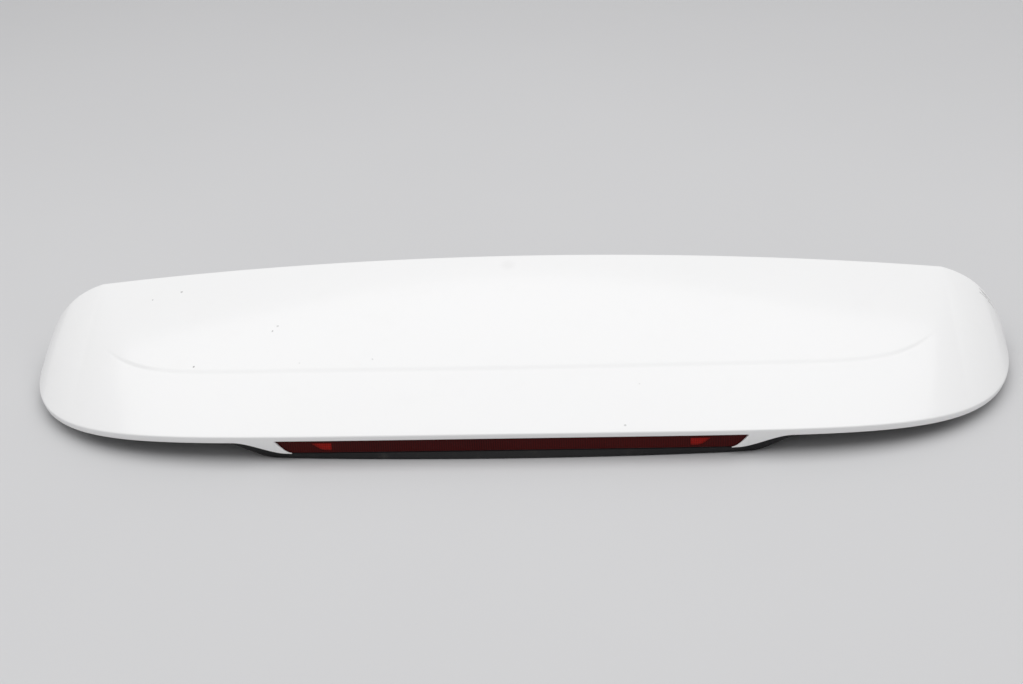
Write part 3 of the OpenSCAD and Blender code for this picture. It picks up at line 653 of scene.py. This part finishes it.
def foam(name, base, light):
    """Foam rubber: small pores, soft unevenness and dust in patches."""
    m = Nodes(name)
    holes = m.ramp(m.cells(1100.0), 0.12, 0.42)
    dust = m.ramp(m.noise(60.0, 4.0), 0.5, 0.8)
    colour = m.blend(holes, rgb(*base), rgb(*light))
    colour = m.blend(m.math("MULTIPLY", dust, 0.35), colour, rgb(0.16, 0.15, 0.14))
    m.set(Base_Color=colour, Roughness=0.92, Specular_IOR_Level=0.2,
          Normal=m.bump(holes, 0.8, 0.00025, m.bump(m.noise(90.0), 0.4, 0.0008)))
    return m.mat


def metal(name, base, rough, stain):
    """Bare metal with dull stains and a fine grain."""
    m = Nodes(name)
    spots = m.ramp(m.noise(240.0, 4.0, 0.65), 0.52, 0.72)
    colour = m.blend(m.math("MULTIPLY", spots, 0.5), rgb(*base), rgb(*stain))
    m.set(Base_Color=colour, Metallic=1.0, Roughness=m.ramp(spots, 0, 1, rough, rough + 0.18),
          Normal=m.bump(m.noise(1300.0, 2.0), 0.25, 0.00005))
    return m.mat


def lens_tint_and_painted_shade(name, flute):
    """Dark red smoked acrylic with fine upright flutes behind a polished face. Its near-black red is partly
    the smoked tint and partly painted shade of the recess under the trailing edge.
    """
    m = Nodes(name)
    band = m.ramp(m.math("PINGPONG", m.separate()[0], flute), 0.0, flute)
    depth = m.ramp(m.noise(9.0), 0.3, 0.7)
    dust = m.ramp(m.noise(420.0, 4.0, 0.7), 0.6, 0.8)
    # Near-black red: partly the lens's smoked tint, partly painted shade of the recess under the trailing
    # edge
    colour = m.blend(band, rgb(0.030, 0.003, 0.003), rgb(0.062, 0.004, 0.004))
    colour = m.blend(m.math("MULTIPLY", depth, 0.4), colour, rgb(0.080, 0.006, 0.005))
    colour = m.blend(m.math("MULTIPLY", dust, 0.04), colour, rgb(0.3, 0.27, 0.25))
    m.set(Base_Color=colour, Roughness=m.ramp(dust, 0, 1, 0.16, 0.4), Specular_IOR_Level=0.07,
          Coat_Weight=0.02, Coat_Roughness=0.08, Normal=m.bump(band, 0.25, 0.0002))
    return m.mat


def window_red(name, rib):
    """Red prismatic window: small upright and level ribs under a polished face."""
    m = Nodes(name)
    x, _, z = m.separate()
    grid = m.math("ADD", m.ramp(m.math("PINGPONG", x, rib), 0.0, rib),
                  m.ramp(m.math("PINGPONG", z, rib), 0.0, rib))
    colour = m.blend(m.ramp(grid, 0.2, 1.9), rgb(0.20, 0.005, 0.003), rgb(0.34, 0.010, 0.006))
    # Darker towards the window's lower edge and its slanted end, where the recess shades it
    low = m.ramp(z, 0.0170, 0.0133)
    along = m.math("SUBTRACT", m.math("ABSOLUTE", x), m.math("MULTIPLY", z, 1.15))
    shade = m.math("ADD", low, m.ramp(along, 0.1890, 0.1955))
    colour = m.blend(m.math("MULTIPLY", shade, 0.55, use_clamp=True), colour, rgb(0.05, 0.004, 0.003))
    m.set(Base_Color=colour, Roughness=0.22, Specular_IOR_Level=0.08, Coat_Weight=0.03,
          Coat_Roughness=0.06, Normal=m.bump(grid, 0.5, 0.0003))
    return m.mat


def board_green(name, pitch):
    """Green circuit board with level tracks under its varnish."""
    m = Nodes(name)
    tracks = m.ramp(m.math("PINGPONG", m.separate()[2], pitch), 0.0009, 0.0012)
    colour = m.blend(tracks, rgb(0.012, 0.10, 0.035), rgb(0.02, 0.16, 0.055))
    m.set(Base_Color=colour, Roughness=m.ramp(m.noise(300.0), 0.3, 0.7, 0.32, 0.5),
          Normal=m.bump(tracks, 0.3, 0.0001))
    return m.mat


SLOTS = {}


def finish(slot, make, *values, **more):
    """Make the material of one of the record's slots."""
    SLOTS[slot] = make(slot, *values, **more)


finish("white_paint", paint_white)
finish("black_plastic", moulded, (0.010, 0.010, 0.011), (0.018, 0.018, 0.019), 0.52, gloss=0.22)
finish("lamp_black", moulded, (0.010, 0.010, 0.011), (0.018, 0.018, 0.019), 0.38,
       grain=1600.0, depth=0.00005, dust=0.05)
finish("clip_plastic", moulded, (0.58, 0.56, 0.48), (0.66, 0.64, 0.56), 0.45,
       grain=1400.0, depth=0.00004, dust=0.10)
finish("seal_foam", foam, (0.014, 0.014, 0.015), (0.045, 0.045, 0.047))
finish("grommet_rubber", moulded, (0.012, 0.012, 0.012), (0.024, 0.023, 0.022), 0.66,
       grain=1300.0, depth=0.00006, dust=0.2, gloss=0.3)
finish("zinc_steel", metal, (0.62, 0.62, 0.60), 0.28, (0.34, 0.31, 0.26))
finish("terminal_brass", metal, (0.78, 0.58, 0.25), 0.25, (0.42, 0.28, 0.12))
finish("bright_reflector", metal, (0.85, 0.85, 0.86), 0.08, (0.6, 0.6, 0.6))
finish("smoked_lens", lens_tint_and_painted_shade, flute=0.0013)
finish("red_window", window_red, rib=0.00125)
finish("circuit_board", board_green, pitch=0.0016)
finish("diode_white", moulded, (0.80, 0.72, 0.42), (0.85, 0.80, 0.55), 0.3,
       grain=1800.0, depth=0.00003, dust=0.02)
slot_of = {part["node"]: part["material_slot"] for part in frame["record"]["subparts"]}
for node, obj in frame["nodes"].items():
    obj.data.materials.clear()
    obj.data.materials.append(SLOTS[slot_of[node]])

# Painted skin

FIN_SLICES, FIN_CROWD = 40, 1.3  # slices of the fin's point, and how they crowd at its root
THIN_SHARE = 0.45  # the most of a short side that a rounding takes
WING_END, CORNER_START = CORNER_X - 16.0, CORNER_X - 14.0  # where the stations close up by the corner


def row_ts(g):
    """Rows of the upper face from the front, closest together at the character line."""
    a, b, c = lead(g), trail(g), chord(g)
    middle = clamp((a.y - line_y(a.x)) / (a.y - b.y), 0.4, 0.75)
    w, e = min(LINE_W * 0.8 / c, 0.05), EDGE / c
    front, line = spread(e, middle - w, 18), spread(middle - w, middle + w, 14)
    return front[:-1] + line[:-1] + spread(middle + w, 1 - e, 15)


def skin_ring(g):
    """Section of the skin: front lip, upper face, rear face, and back along the inner face."""
    a, b = lead(g), trail(g)
    down, w, v = front_down(g), front_inward(g) * SKIN_T, rear_inward(g) * SKIN_T
    drop, e = rear_drop(a.x), SKIN_T / chord(g)
    f0, f1 = a + down * FRONT_LIP, a + down * FRONT_LIP + w
    r0, r1 = rear_face(g, drop), rear_face(g, drop) + v
    i0, i1 = under(g, e, SKIN_T) + down * 0.3, rear_face(g, SKIN_T + 0.5) + v
    outer = [skin(g, t) for t in row_ts(g)]
    inner = [under(g, t, SKIN_T) for t in spread(e, 1 - e, 14)[1:-1]]
    ring = rounded(f1, f0, a, LIP_EDGE, 4)
    ring += rounded(f0, a, outer[1], EDGE, 5)[:-1] + outer
    ring += rounded(outer[-2], b, r0, EDGE, 5)[1:]
    ring += rounded(b, r0, r1, LOW_EDGE, 4) + rounded(r0, r1, i1, LOW_EDGE, 3) + [i1]
    ring += inner[::-1] + [i0] + rounded(i0, f1, f0, LOW_EDGE, 2)
    return ring


def skin_stations():
    """Stations across the part. Two lie close together at each side of the lamp opening."""
    side_x = spread(0, OPEN_SIDE * 0.9999, 26) + spread(OPEN_SIDE * 1.0001, FIN_END, 22)
    side_x += spread(FIN_END, WING_END, 28)[1:] + spread(CORNER_START, CORNER_X, 8)
    side_g = [station_at(x) for x in side_x] + spread(FLAT_G, 1.0, 60)[1:]
    return [-g for g in side_g[:0:-1]] + side_g


def fin_wall(drop):
    return min(SKIN_T, LENS_Y - BOND_GAP - LIP_LEAN * drop)


def fin_top(x):
    """Upper edge of the fin's point: a hollow curve up to the opening's blunt upper corner."""
    lip, off = TRAIL_H - LAMP_LIP, x - (OPEN_SIDE - CORNER_R)
    if off > CORNER_R:
        return lip + FIN_MEET
    rise = clamp((x - LAMP_BOTTOM) / (OPEN_SIDE + FIN_EDGE - LAMP_BOTTOM)) ** FIN_POWER
    top = mix(LENS_Z0 + FIN_TIP_H, lip + FIN_MEET, rise)
    if off > 0:
        top = max(top, lip - CORNER_R - math.sqrt(CORNER_R ** 2 - off ** 2))
    return top


def fin_tip(side):
    """Painted point of the fin that runs down beside the lamp."""
    rings = []
    for i in range(FIN_SLICES + 1):
        x = mix(LAMP_BOTTOM - FIN_LAP, OPEN_SIDE + FIN_LAP, 1 - (1 - i / FIN_SLICES) ** FIN_CROWD)
        g = station_at(side * x)
        n = rear_inward(g)
        tall = max(fin_top(x) - fin_z(x), FIN_LAP)
        low_drop = trail_z(x) - fin_z(x)
        high_drop = low_drop - tall * (THIN_SHARE if i == 0 else 1.0)
        low, high = rear_face(g, low_drop), rear_face(g, high_drop)
        corners = [low, high, high + n * fin_wall(high_drop), low + n * fin_wall(low_drop)]
        rings.append(soft_loop(corners, [min(FIN_EDGE, tall * THIN_SHARE)] * 4, 3))
    return loft(rings)


piece("painted_skin", [loft([skin_ring(g) for g in skin_stations()]), fin_tip(1), fin_tip(-1)],
      "white_paint", "upper_skin", sharp=50.0)

# Lower shell

LAMP_PAST, POD_PAST = 8, 6  # how far the closer sections run past the lamp's and the pod's ends


def shell_path(x):
    """Outer line of the shell's section, from the lamp's sill to the glue flange."""
    g = station_at(x)
    p = [Vector((x, trail_y(x) + SHELL_SET, shell_high(x))), Vector((x, base_rear(x), shell_low(x))),
         Vector((x, base_front(x), 0)), wall_top(x), flange_point(g, SEAL_SET)]
    edge = min(SHELL_EDGE, (p[0] - p[1]).length * THIN_SHARE)
    out = [p[0]]
    for i, r in ((1, edge), (2, BASE_ROUND), (3, FLANGE_ROUND)):
        out += rounded(p[i - 1], p[i], p[i + 1], r, 5)
    return out + [p[4]]


def shell_ring(x, inset=0.0):
    """Section of the shell's wall, with its outer line drawn in by inset."""
    path = shell_path(x)
    inner = []
    for i, p in enumerate(path):
        d = (path[min(i + 1, len(path) - 1)] - path[max(i - 1, 0)]).normalized()
        inner.append(p + Vector((0, -d.z, d.y)) * SHELL_T)
    if inset:
        path = [p + (q - p).normalized() * inset for p, q in zip(path, inner)]
    return path + inner[::-1]


def shell_stations():
    """Places of the shell's sections, closer together by the lamp's and the pod's ends."""
    stops = (0.0, SILL_END, LAMP_TOP + LAMP_PAST, POD_HALF + POD_RISE + POD_PAST, SHELL_HALF - SHELL_EDGE)
    side_x = [0.0]
    for low, high, n in zip(stops, stops[1:], (22, 8, 26, 22)):
        side_x += spread(low, high, n)[1:]
    return [-x for x in side_x[:0:-1]] + side_x


def shell_end(side):
    """Closing wall at the end of the shell, with a softened rim."""
    rings = []
    for inset, back in ((0.0, SHELL_EDGE), (0.35, 0.4), (SHELL_EDGE, 0.0)):
        x = side * (SHELL_HALF - back)
        g = station_at(x)
        path = shell_ring(x, inset)[:len(shell_path(x))]
        top = []
        for t in spread(SEAL_SET / chord(g), 1 - SHELL_SET / chord(g), 12):
            p = under(g, t, SKIN_T + 2 * BOND_GAP + inset)
            top.append(Vector((x, p.y, p.z)))
        rings.append(path + top)
    return loft(rings)


def pad(x, s, r, hole):
    """Round pad with a hole, on the mounting face."""
    profile = [(r + PAD_DRAFT, -PAD_DEEP), (r, PAD_H), (hole, PAD_H), (hole, -PAD_DEEP)]
    return turned(soft_profile(profile, PAD_EDGE), x, s)


def locating_pin(x, s):
    top = PAD_H + PIN_LEN
    profile = [(PIN_R + 2.2, PAD_H - 0.05), (PIN_R, PAD_H + 1.6), (PIN_R, top),
               (PIN_R - 1.5, top + PIN_TAPER), (AXIS_R, top + PIN_TAPER)]
    return turned(soft_profile(profile, 0.6), x, s, 40)


def shell_shapes():
    shapes = [loft([shell_ring(x) for x in shell_stations()]), shell_end(1), shell_end(-1)]
    for side in (-1, 1):
        for x in (STUD_IN_X, STUD_OUT_X):
            shapes.append(pad(side * x, STUD_S, PAD_R, SHOULDER_R + FIT_GAP))
        shapes.append(pad(side * PIN_X, PIN_S, PAD_R, PIN_R - 0.5))
        shapes.append(locating_pin(side * PIN_X, PIN_S))
        shapes.append(pad(side * CLIP_X, CLIP_S, CLIP_R + PAD_MARGIN, CLIP_NECK_R + FIT_GAP))
    grommet_pad_r = GROMMET_R + GROMMET_RIM + PAD_MARGIN
    shapes.append(pad(GROMMET_X, GROMMET_S, grommet_pad_r, GROMMET_R + FIT_GAP))
    return shapes


piece("moulded_shell", shell_shapes(), "black_plastic", "lower_shell")

# Lamp


def lens_bar(y0, y1, z0, z1):
    """A bar along the trailing edge with slanted ends and softened long edges."""
    corners = [Vector((0, y, z)) for y, z in ((y0, z0), (y0, z1), (y1, z1), (y1, z0))]
    section = soft_loop(corners, [0.5] * 4, 3)
    rings = []
    for f in spread(-1, 1, 72):
        ring = []
        for p in section:
            x = f * (LAMP_BOTTOM + LENS_LAP + (p.z - LENS_Z0) * LENS_SLANT)
            ring.append(Vector((x, trail_y(x) + p.y, p.z)))
        rings.append(ring)
    return loft(rings)


def window(side, rows, grow=0.0):
    """A form with the window's outline. rows holds (y, amount by which the outline is drawn in)."""
    low, high = WINDOW_Z - grow, WINDOW_Z + WINDOW_H + grow
    corners = [(WINDOW_X - grow, low), (WINDOW_X + WINDOW_BOTTOM + grow, low),
               (WINDOW_X + WINDOW_TOP + grow, high), (WINDOW_X - grow, high)]
    outline = soft_loop([Vector((x, 0, z)) for x, z in corners], [WINDOW_ROUND] * 4, 4)
    middle = sum(outline, Vector()) / len(outline)
    rings = []
    for y, shrink in rows:
        ring = []
        for p in outline:
            q = p + (middle - p).normalized() * shrink
            ring.append(Vector((side * q.x, trail_y(q.x) + y, q.z)))
        rings.append(ring)
    return loft(rings)


def cut_window(lens, side):
    """Cut the hole of one window out of the lens."""
    rows = ((LENS_Y - 2, 0.0), (LENS_Y + LENS_T + 2, 0.0))
    cutter = piece("cutter", [window(side, rows, WINDOW_PLAY)], "smoked_lens")
    cut = lens.modifiers.new("cut", "BOOLEAN")
    cut.operation, cut.solver, cut.object = "DIFFERENCE", "EXACT", cutter
    mesh = bpy.data.meshes.new_from_object(lens.evaluated_get(bpy.context.evaluated_depsgraph_get()))
    lens.modifiers.clear()
    lens.data = mesh
    bpy.data.objects.remove(cutter)


lens = piece("lamp_lens_face", [lens_bar(LENS_Y, LENS_Y + LENS_T, LENS_Z0 + 0.2, shell_top(LAMP_TOP))],
             "smoked_lens", "lamp_lens")
window_y = LENS_Y - 0.1
window_rows = ((window_y, WINDOW_BEVEL), (window_y + 0.35, 0.0), (LENS_Y + LENS_T, 0.0))
for side, name in ((-1, "left"), (1, "right")):
    cut_window(lens, side)
    piece("red_window_" + name, [window(side, window_rows)], "red_window", "side_window_" + name)
lens.data.set_sharp_from_angle(angle=math.radians(35))

# Seals

CHEEK_SEAL_FROM, CHEEK_SEAL_TO = FLAT_G + 0.03, 0.94


def seal_ring(g, w):
    """Section of a foam seal that hangs inside the front lip."""
    a, e, d = lead(g), front_inward(g), front_down(g)
    near = SKIN_T + BOND_GAP
    high, low = near + 0.2, FRONT_LIP + SEAL_DROP
    inner, outer = a + e * near, a + e * (near + w)
    corners = [inner + d * low, inner + d * high, outer + d * high, outer + d * low]
    return soft_loop(corners, [w * 0.42, 0.5, 0.5, w * 0.42], 5)


def seal(g0, g1, n, w):
    return loft([seal_ring(g, w) for g in spread(g0, g1, n)])


def foam_strip():
    """Foam strip low on the mounting face."""
    near, far, high = BOND_GAP, BOND_GAP + STRIP_T, STRIP_S + STRIP_W
    rings = []
    for f in spread(-1, 1, 100):
        x = f * (SHELL_HALF - STRIP_INSET)
        corners = [face_point(x, STRIP_S, near), face_point(x, STRIP_S, far), face_point(x, high, far),
                   face_point(x, high, near)]
        rings.append(soft_loop(corners, [0.3, 1.3, 1.3, 0.3], 4))
    return loft(rings)


seal_g = station_at(CORNER_X - SEAL_END)
piece("front_seal", [seal(-seal_g, seal_g, 120, SEAL_W)], "seal_foam", "leading_seal")
for side, name in ((-1, "left"), (1, "right")):
    cheek_seal = seal(side * CHEEK_SEAL_FROM, side * CHEEK_SEAL_TO, 40, CHEEK_SEAL_W)
    piece("end_seal_" + name, [cheek_seal], "seal_foam", "cheek_seal_" + name)
piece("face_strip", [foam_strip()], "seal_foam", "lower_seal")

# Fixings


def thread(x, s, low, high):
    """The threaded end of a stud, as one wound surface with a chamfered tip."""
    rows = int((high - low) / THREAD_PITCH * THREAD_ROWS)
    profile = [(STUD_R, low + (high - low) * j / rows) for j in range(rows + 1)]
    profile += [(STUD_R - STUD_CHAMFER, high + STUD_CHAMFER), (AXIS_R, high + STUD_CHAMFER)]

    def ripple(r, z, a):
        if z > high:
            return r
        wave = abs(((z / THREAD_PITCH - a / (2 * math.pi)) % 1.0) * 2 - 1)
        fade = clamp((high - z) / THREAD_PITCH) * clamp((z - low) / THREAD_PITCH)
        return r - THREAD_DEPTH * clamp(wave * 1.25 - 0.1) * fade
    return turned(profile, x, s, 28, ripple)


def stud(x, s):
    """Plate behind the wall, shoulder in the pad, and the threaded end outside."""
    back, neck = -PAD_BACK - PLATE_T, STUD_R - 0.1
    profile = [(AXIS_R, back), (PLATE_R, back), (PLATE_R, -PAD_BACK), (SHOULDER_R, -PAD_BACK),
               (SHOULDER_R, PAD_H), (neck, PAD_H), (neck, PAD_H + 0.6)]
    return [turned(soft_profile(profile, 0.3, 2), x, s, 48), thread(x, s, PAD_H, PAD_H + STUD_LEN)]


def foam_ring(x, s):
    profile = [(RING_BORE_R, PAD_H + 2), (RING_BORE_R, PAD_H), (RING_R, PAD_H), (RING_R, PAD_H + RING_T),
               (RING_BORE_R, PAD_H + RING_T), (RING_BORE_R, PAD_H + 2)]
    return turned(soft_profile(profile, 0.8), x, s)


def clip(x, s):
    """Push clip: a flanged stem with four barbs."""
    top, neck = PAD_H + CLIP_LEN, CLIP_NECK_R
    profile = [(AXIS_R, -PAD_BACK), (neck, -PAD_BACK), (neck, PAD_H), (CLIP_R, PAD_H),
               (CLIP_R - 0.4, PAD_H + 1.6), (neck - 0.6, PAD_H + 1.8), (neck - 1, top - 8.0),
               (neck - 1, top - 7.0), (1.6, top - 0.6), (AXIS_R, top)]
    out = [turned(soft_profile(profile, 0.5, 3), x, s, 48)]
    centre = face_point(x, s, 0)
    axis = (face_point(x, s, 1) - centre).normalized()
    for k in range(4):
        a = math.pi / 4 + k * math.pi / 2
        side = Vector((1, 0, 0)) * math.cos(a) + axis.cross(Vector((1, 0, 0))) * math.sin(a)
        tangent = axis.cross(side)
        rings = []
        # Each row of a barb: distance below the top, reach from the axis, and half width
        for below, r, w in ((9.5, 2.6, 1.3), (8.0, 3.4, 1.4), (6.5, 4.45, 1.5),
                            (5.5, 4.45, 1.5), (3.0, 3.0, 1.2), (1.2, 1.8, 0.8)):
            p = centre + axis * (top - below)
            rings.append([p + side * (r - 1.2) - tangent * w, p + side * r - tangent * w * 0.8,
                          p + side * (r + 0.05), p + side * r + tangent * w * 0.8,
                          p + side * (r - 1.2) + tangent * w])
        out.append(loft(rings))
    return out


def grommet(x, s):
    """Rubber inlet with a flange at each side of the wall and a stepped collar outside."""
    r, bore, rim = GROMMET_R, GROMMET_BORE_R, GROMMET_R + GROMMET_RIM
    profile = [(bore, -2.0), (bore, -8.0), (rim - 1, -8.0), (rim, -7.0), (rim, -PAD_BACK), (r, -PAD_BACK),
               (r, PAD_H), (rim, PAD_H), (rim, PAD_H + 1.5), (r - 0.4, PAD_H + 2.2), (r - 1, PAD_H + 2.9),
               (7.6, PAD_H + 3.0), (7.0, PAD_H + 4.6), (bore + 0.4, PAD_H + 5.0), (bore, PAD_H + 4.6),
               (bore, -2.0)]
    return turned(soft_profile(profile, 0.4, 2), x, s)


stud_x = (-STUD_OUT_X, -STUD_IN_X, STUD_IN_X, STUD_OUT_X)
piece("threaded_studs", [shape for x in stud_x for shape in stud(x, STUD_S)], "zinc_steel", "mounting_studs")
piece("stud_rings", [foam_ring(x, STUD_S) for x in stud_x], "seal_foam", "stud_foam_rings")
piece("push_clips", clip(-CLIP_X, CLIP_S) + clip(CLIP_X, CLIP_S), "clip_plastic", "end_clips")
piece("rubber_inlet", [grommet(GROMMET_X, GROMMET_S)], "grommet_rubber", "cable_grommet")

# Floor and light, in metres

FLOOR_HALF, FLOOR_DROP = 9, 0.0006


def floor():
    m = Nodes("studio_floor")
    colour = m.blend(m.noise(1.6), rgb(0.63, 0.63, 0.635), rgb(0.66, 0.66, 0.665))
    m.set(Base_Color=colour, Roughness=0.75, Specular_IOR_Level=0.2)
    mesh = bpy.data.meshes.new("floor")
    corners = [(x * FLOOR_HALF, y * FLOOR_HALF, 0) for x, y in ((-1, -1), (1, -1), (1, 1), (-1, 1))]
    mesh.from_pydata(corners, [], [(0, 1, 2, 3)])
    mesh.materials.append(m.mat)
    obj = bpy.data.objects.new("floor", mesh)
    obj.location.z = -FLOOR_DROP
    bpy.context.scene.collection.objects.link(obj)


def area(name, where, towards, size, power):
    data = bpy.data.lights.new(name, "AREA")
    data.shape, data.size, data.size_y, data.energy = "RECTANGLE", size[0], size[1], power
    obj = bpy.data.objects.new(name, data)
    obj.location = where
    obj.rotation_euler = (Vector(towards) - Vector(where)).to_track_quat("-Z", "Y").to_euler()
    bpy.context.scene.collection.objects.link(obj)


def studio_world():
    """Soft light on the part, and plain white for what the camera and reflections see."""
    world = bpy.data.worlds.new("studio")
    bpy.context.scene.world = world
    world.use_nodes = True
    tree = world.node_tree
    tree.nodes.clear()
    shades = []
    for colour, strength in (((0.95, 0.95, 0.965, 1), 0.5), ((1, 1, 1, 1), 1.0)):
        shade = tree.nodes.new("ShaderNodeBackground")
        shade.inputs["Color"].default_value = colour
        shade.inputs["Strength"].default_value = strength
        shades.append(shade.outputs[0])
    rays = tree.nodes.new("ShaderNodeLightPath").outputs
    seen = rays["Is Camera Ray"]
    for ray in ("Is Glossy Ray", "Is Transmission Ray"):
        either = tree.nodes.new("ShaderNodeMath")
        either.operation = "MAXIMUM"
        tree.links.new(seen, either.inputs[0])
        tree.links.new(rays[ray], either.inputs[1])
        seen = either.outputs[0]
    choose = tree.nodes.new("ShaderNodeMixShader")
    for source, socket in zip([seen] + shades, choose.inputs):
        tree.links.new(source, socket)
    tree.links.new(choose.outputs[0], tree.nodes.new("ShaderNodeOutputWorld").inputs[0])


floor()
area("key", (0.0, -0.1, 2.6), (0, 0.0, 0.0), (4.6, 3.2), 60)
studio_world()
bpy.context.scene.view_settings.view_transform = "Standard"
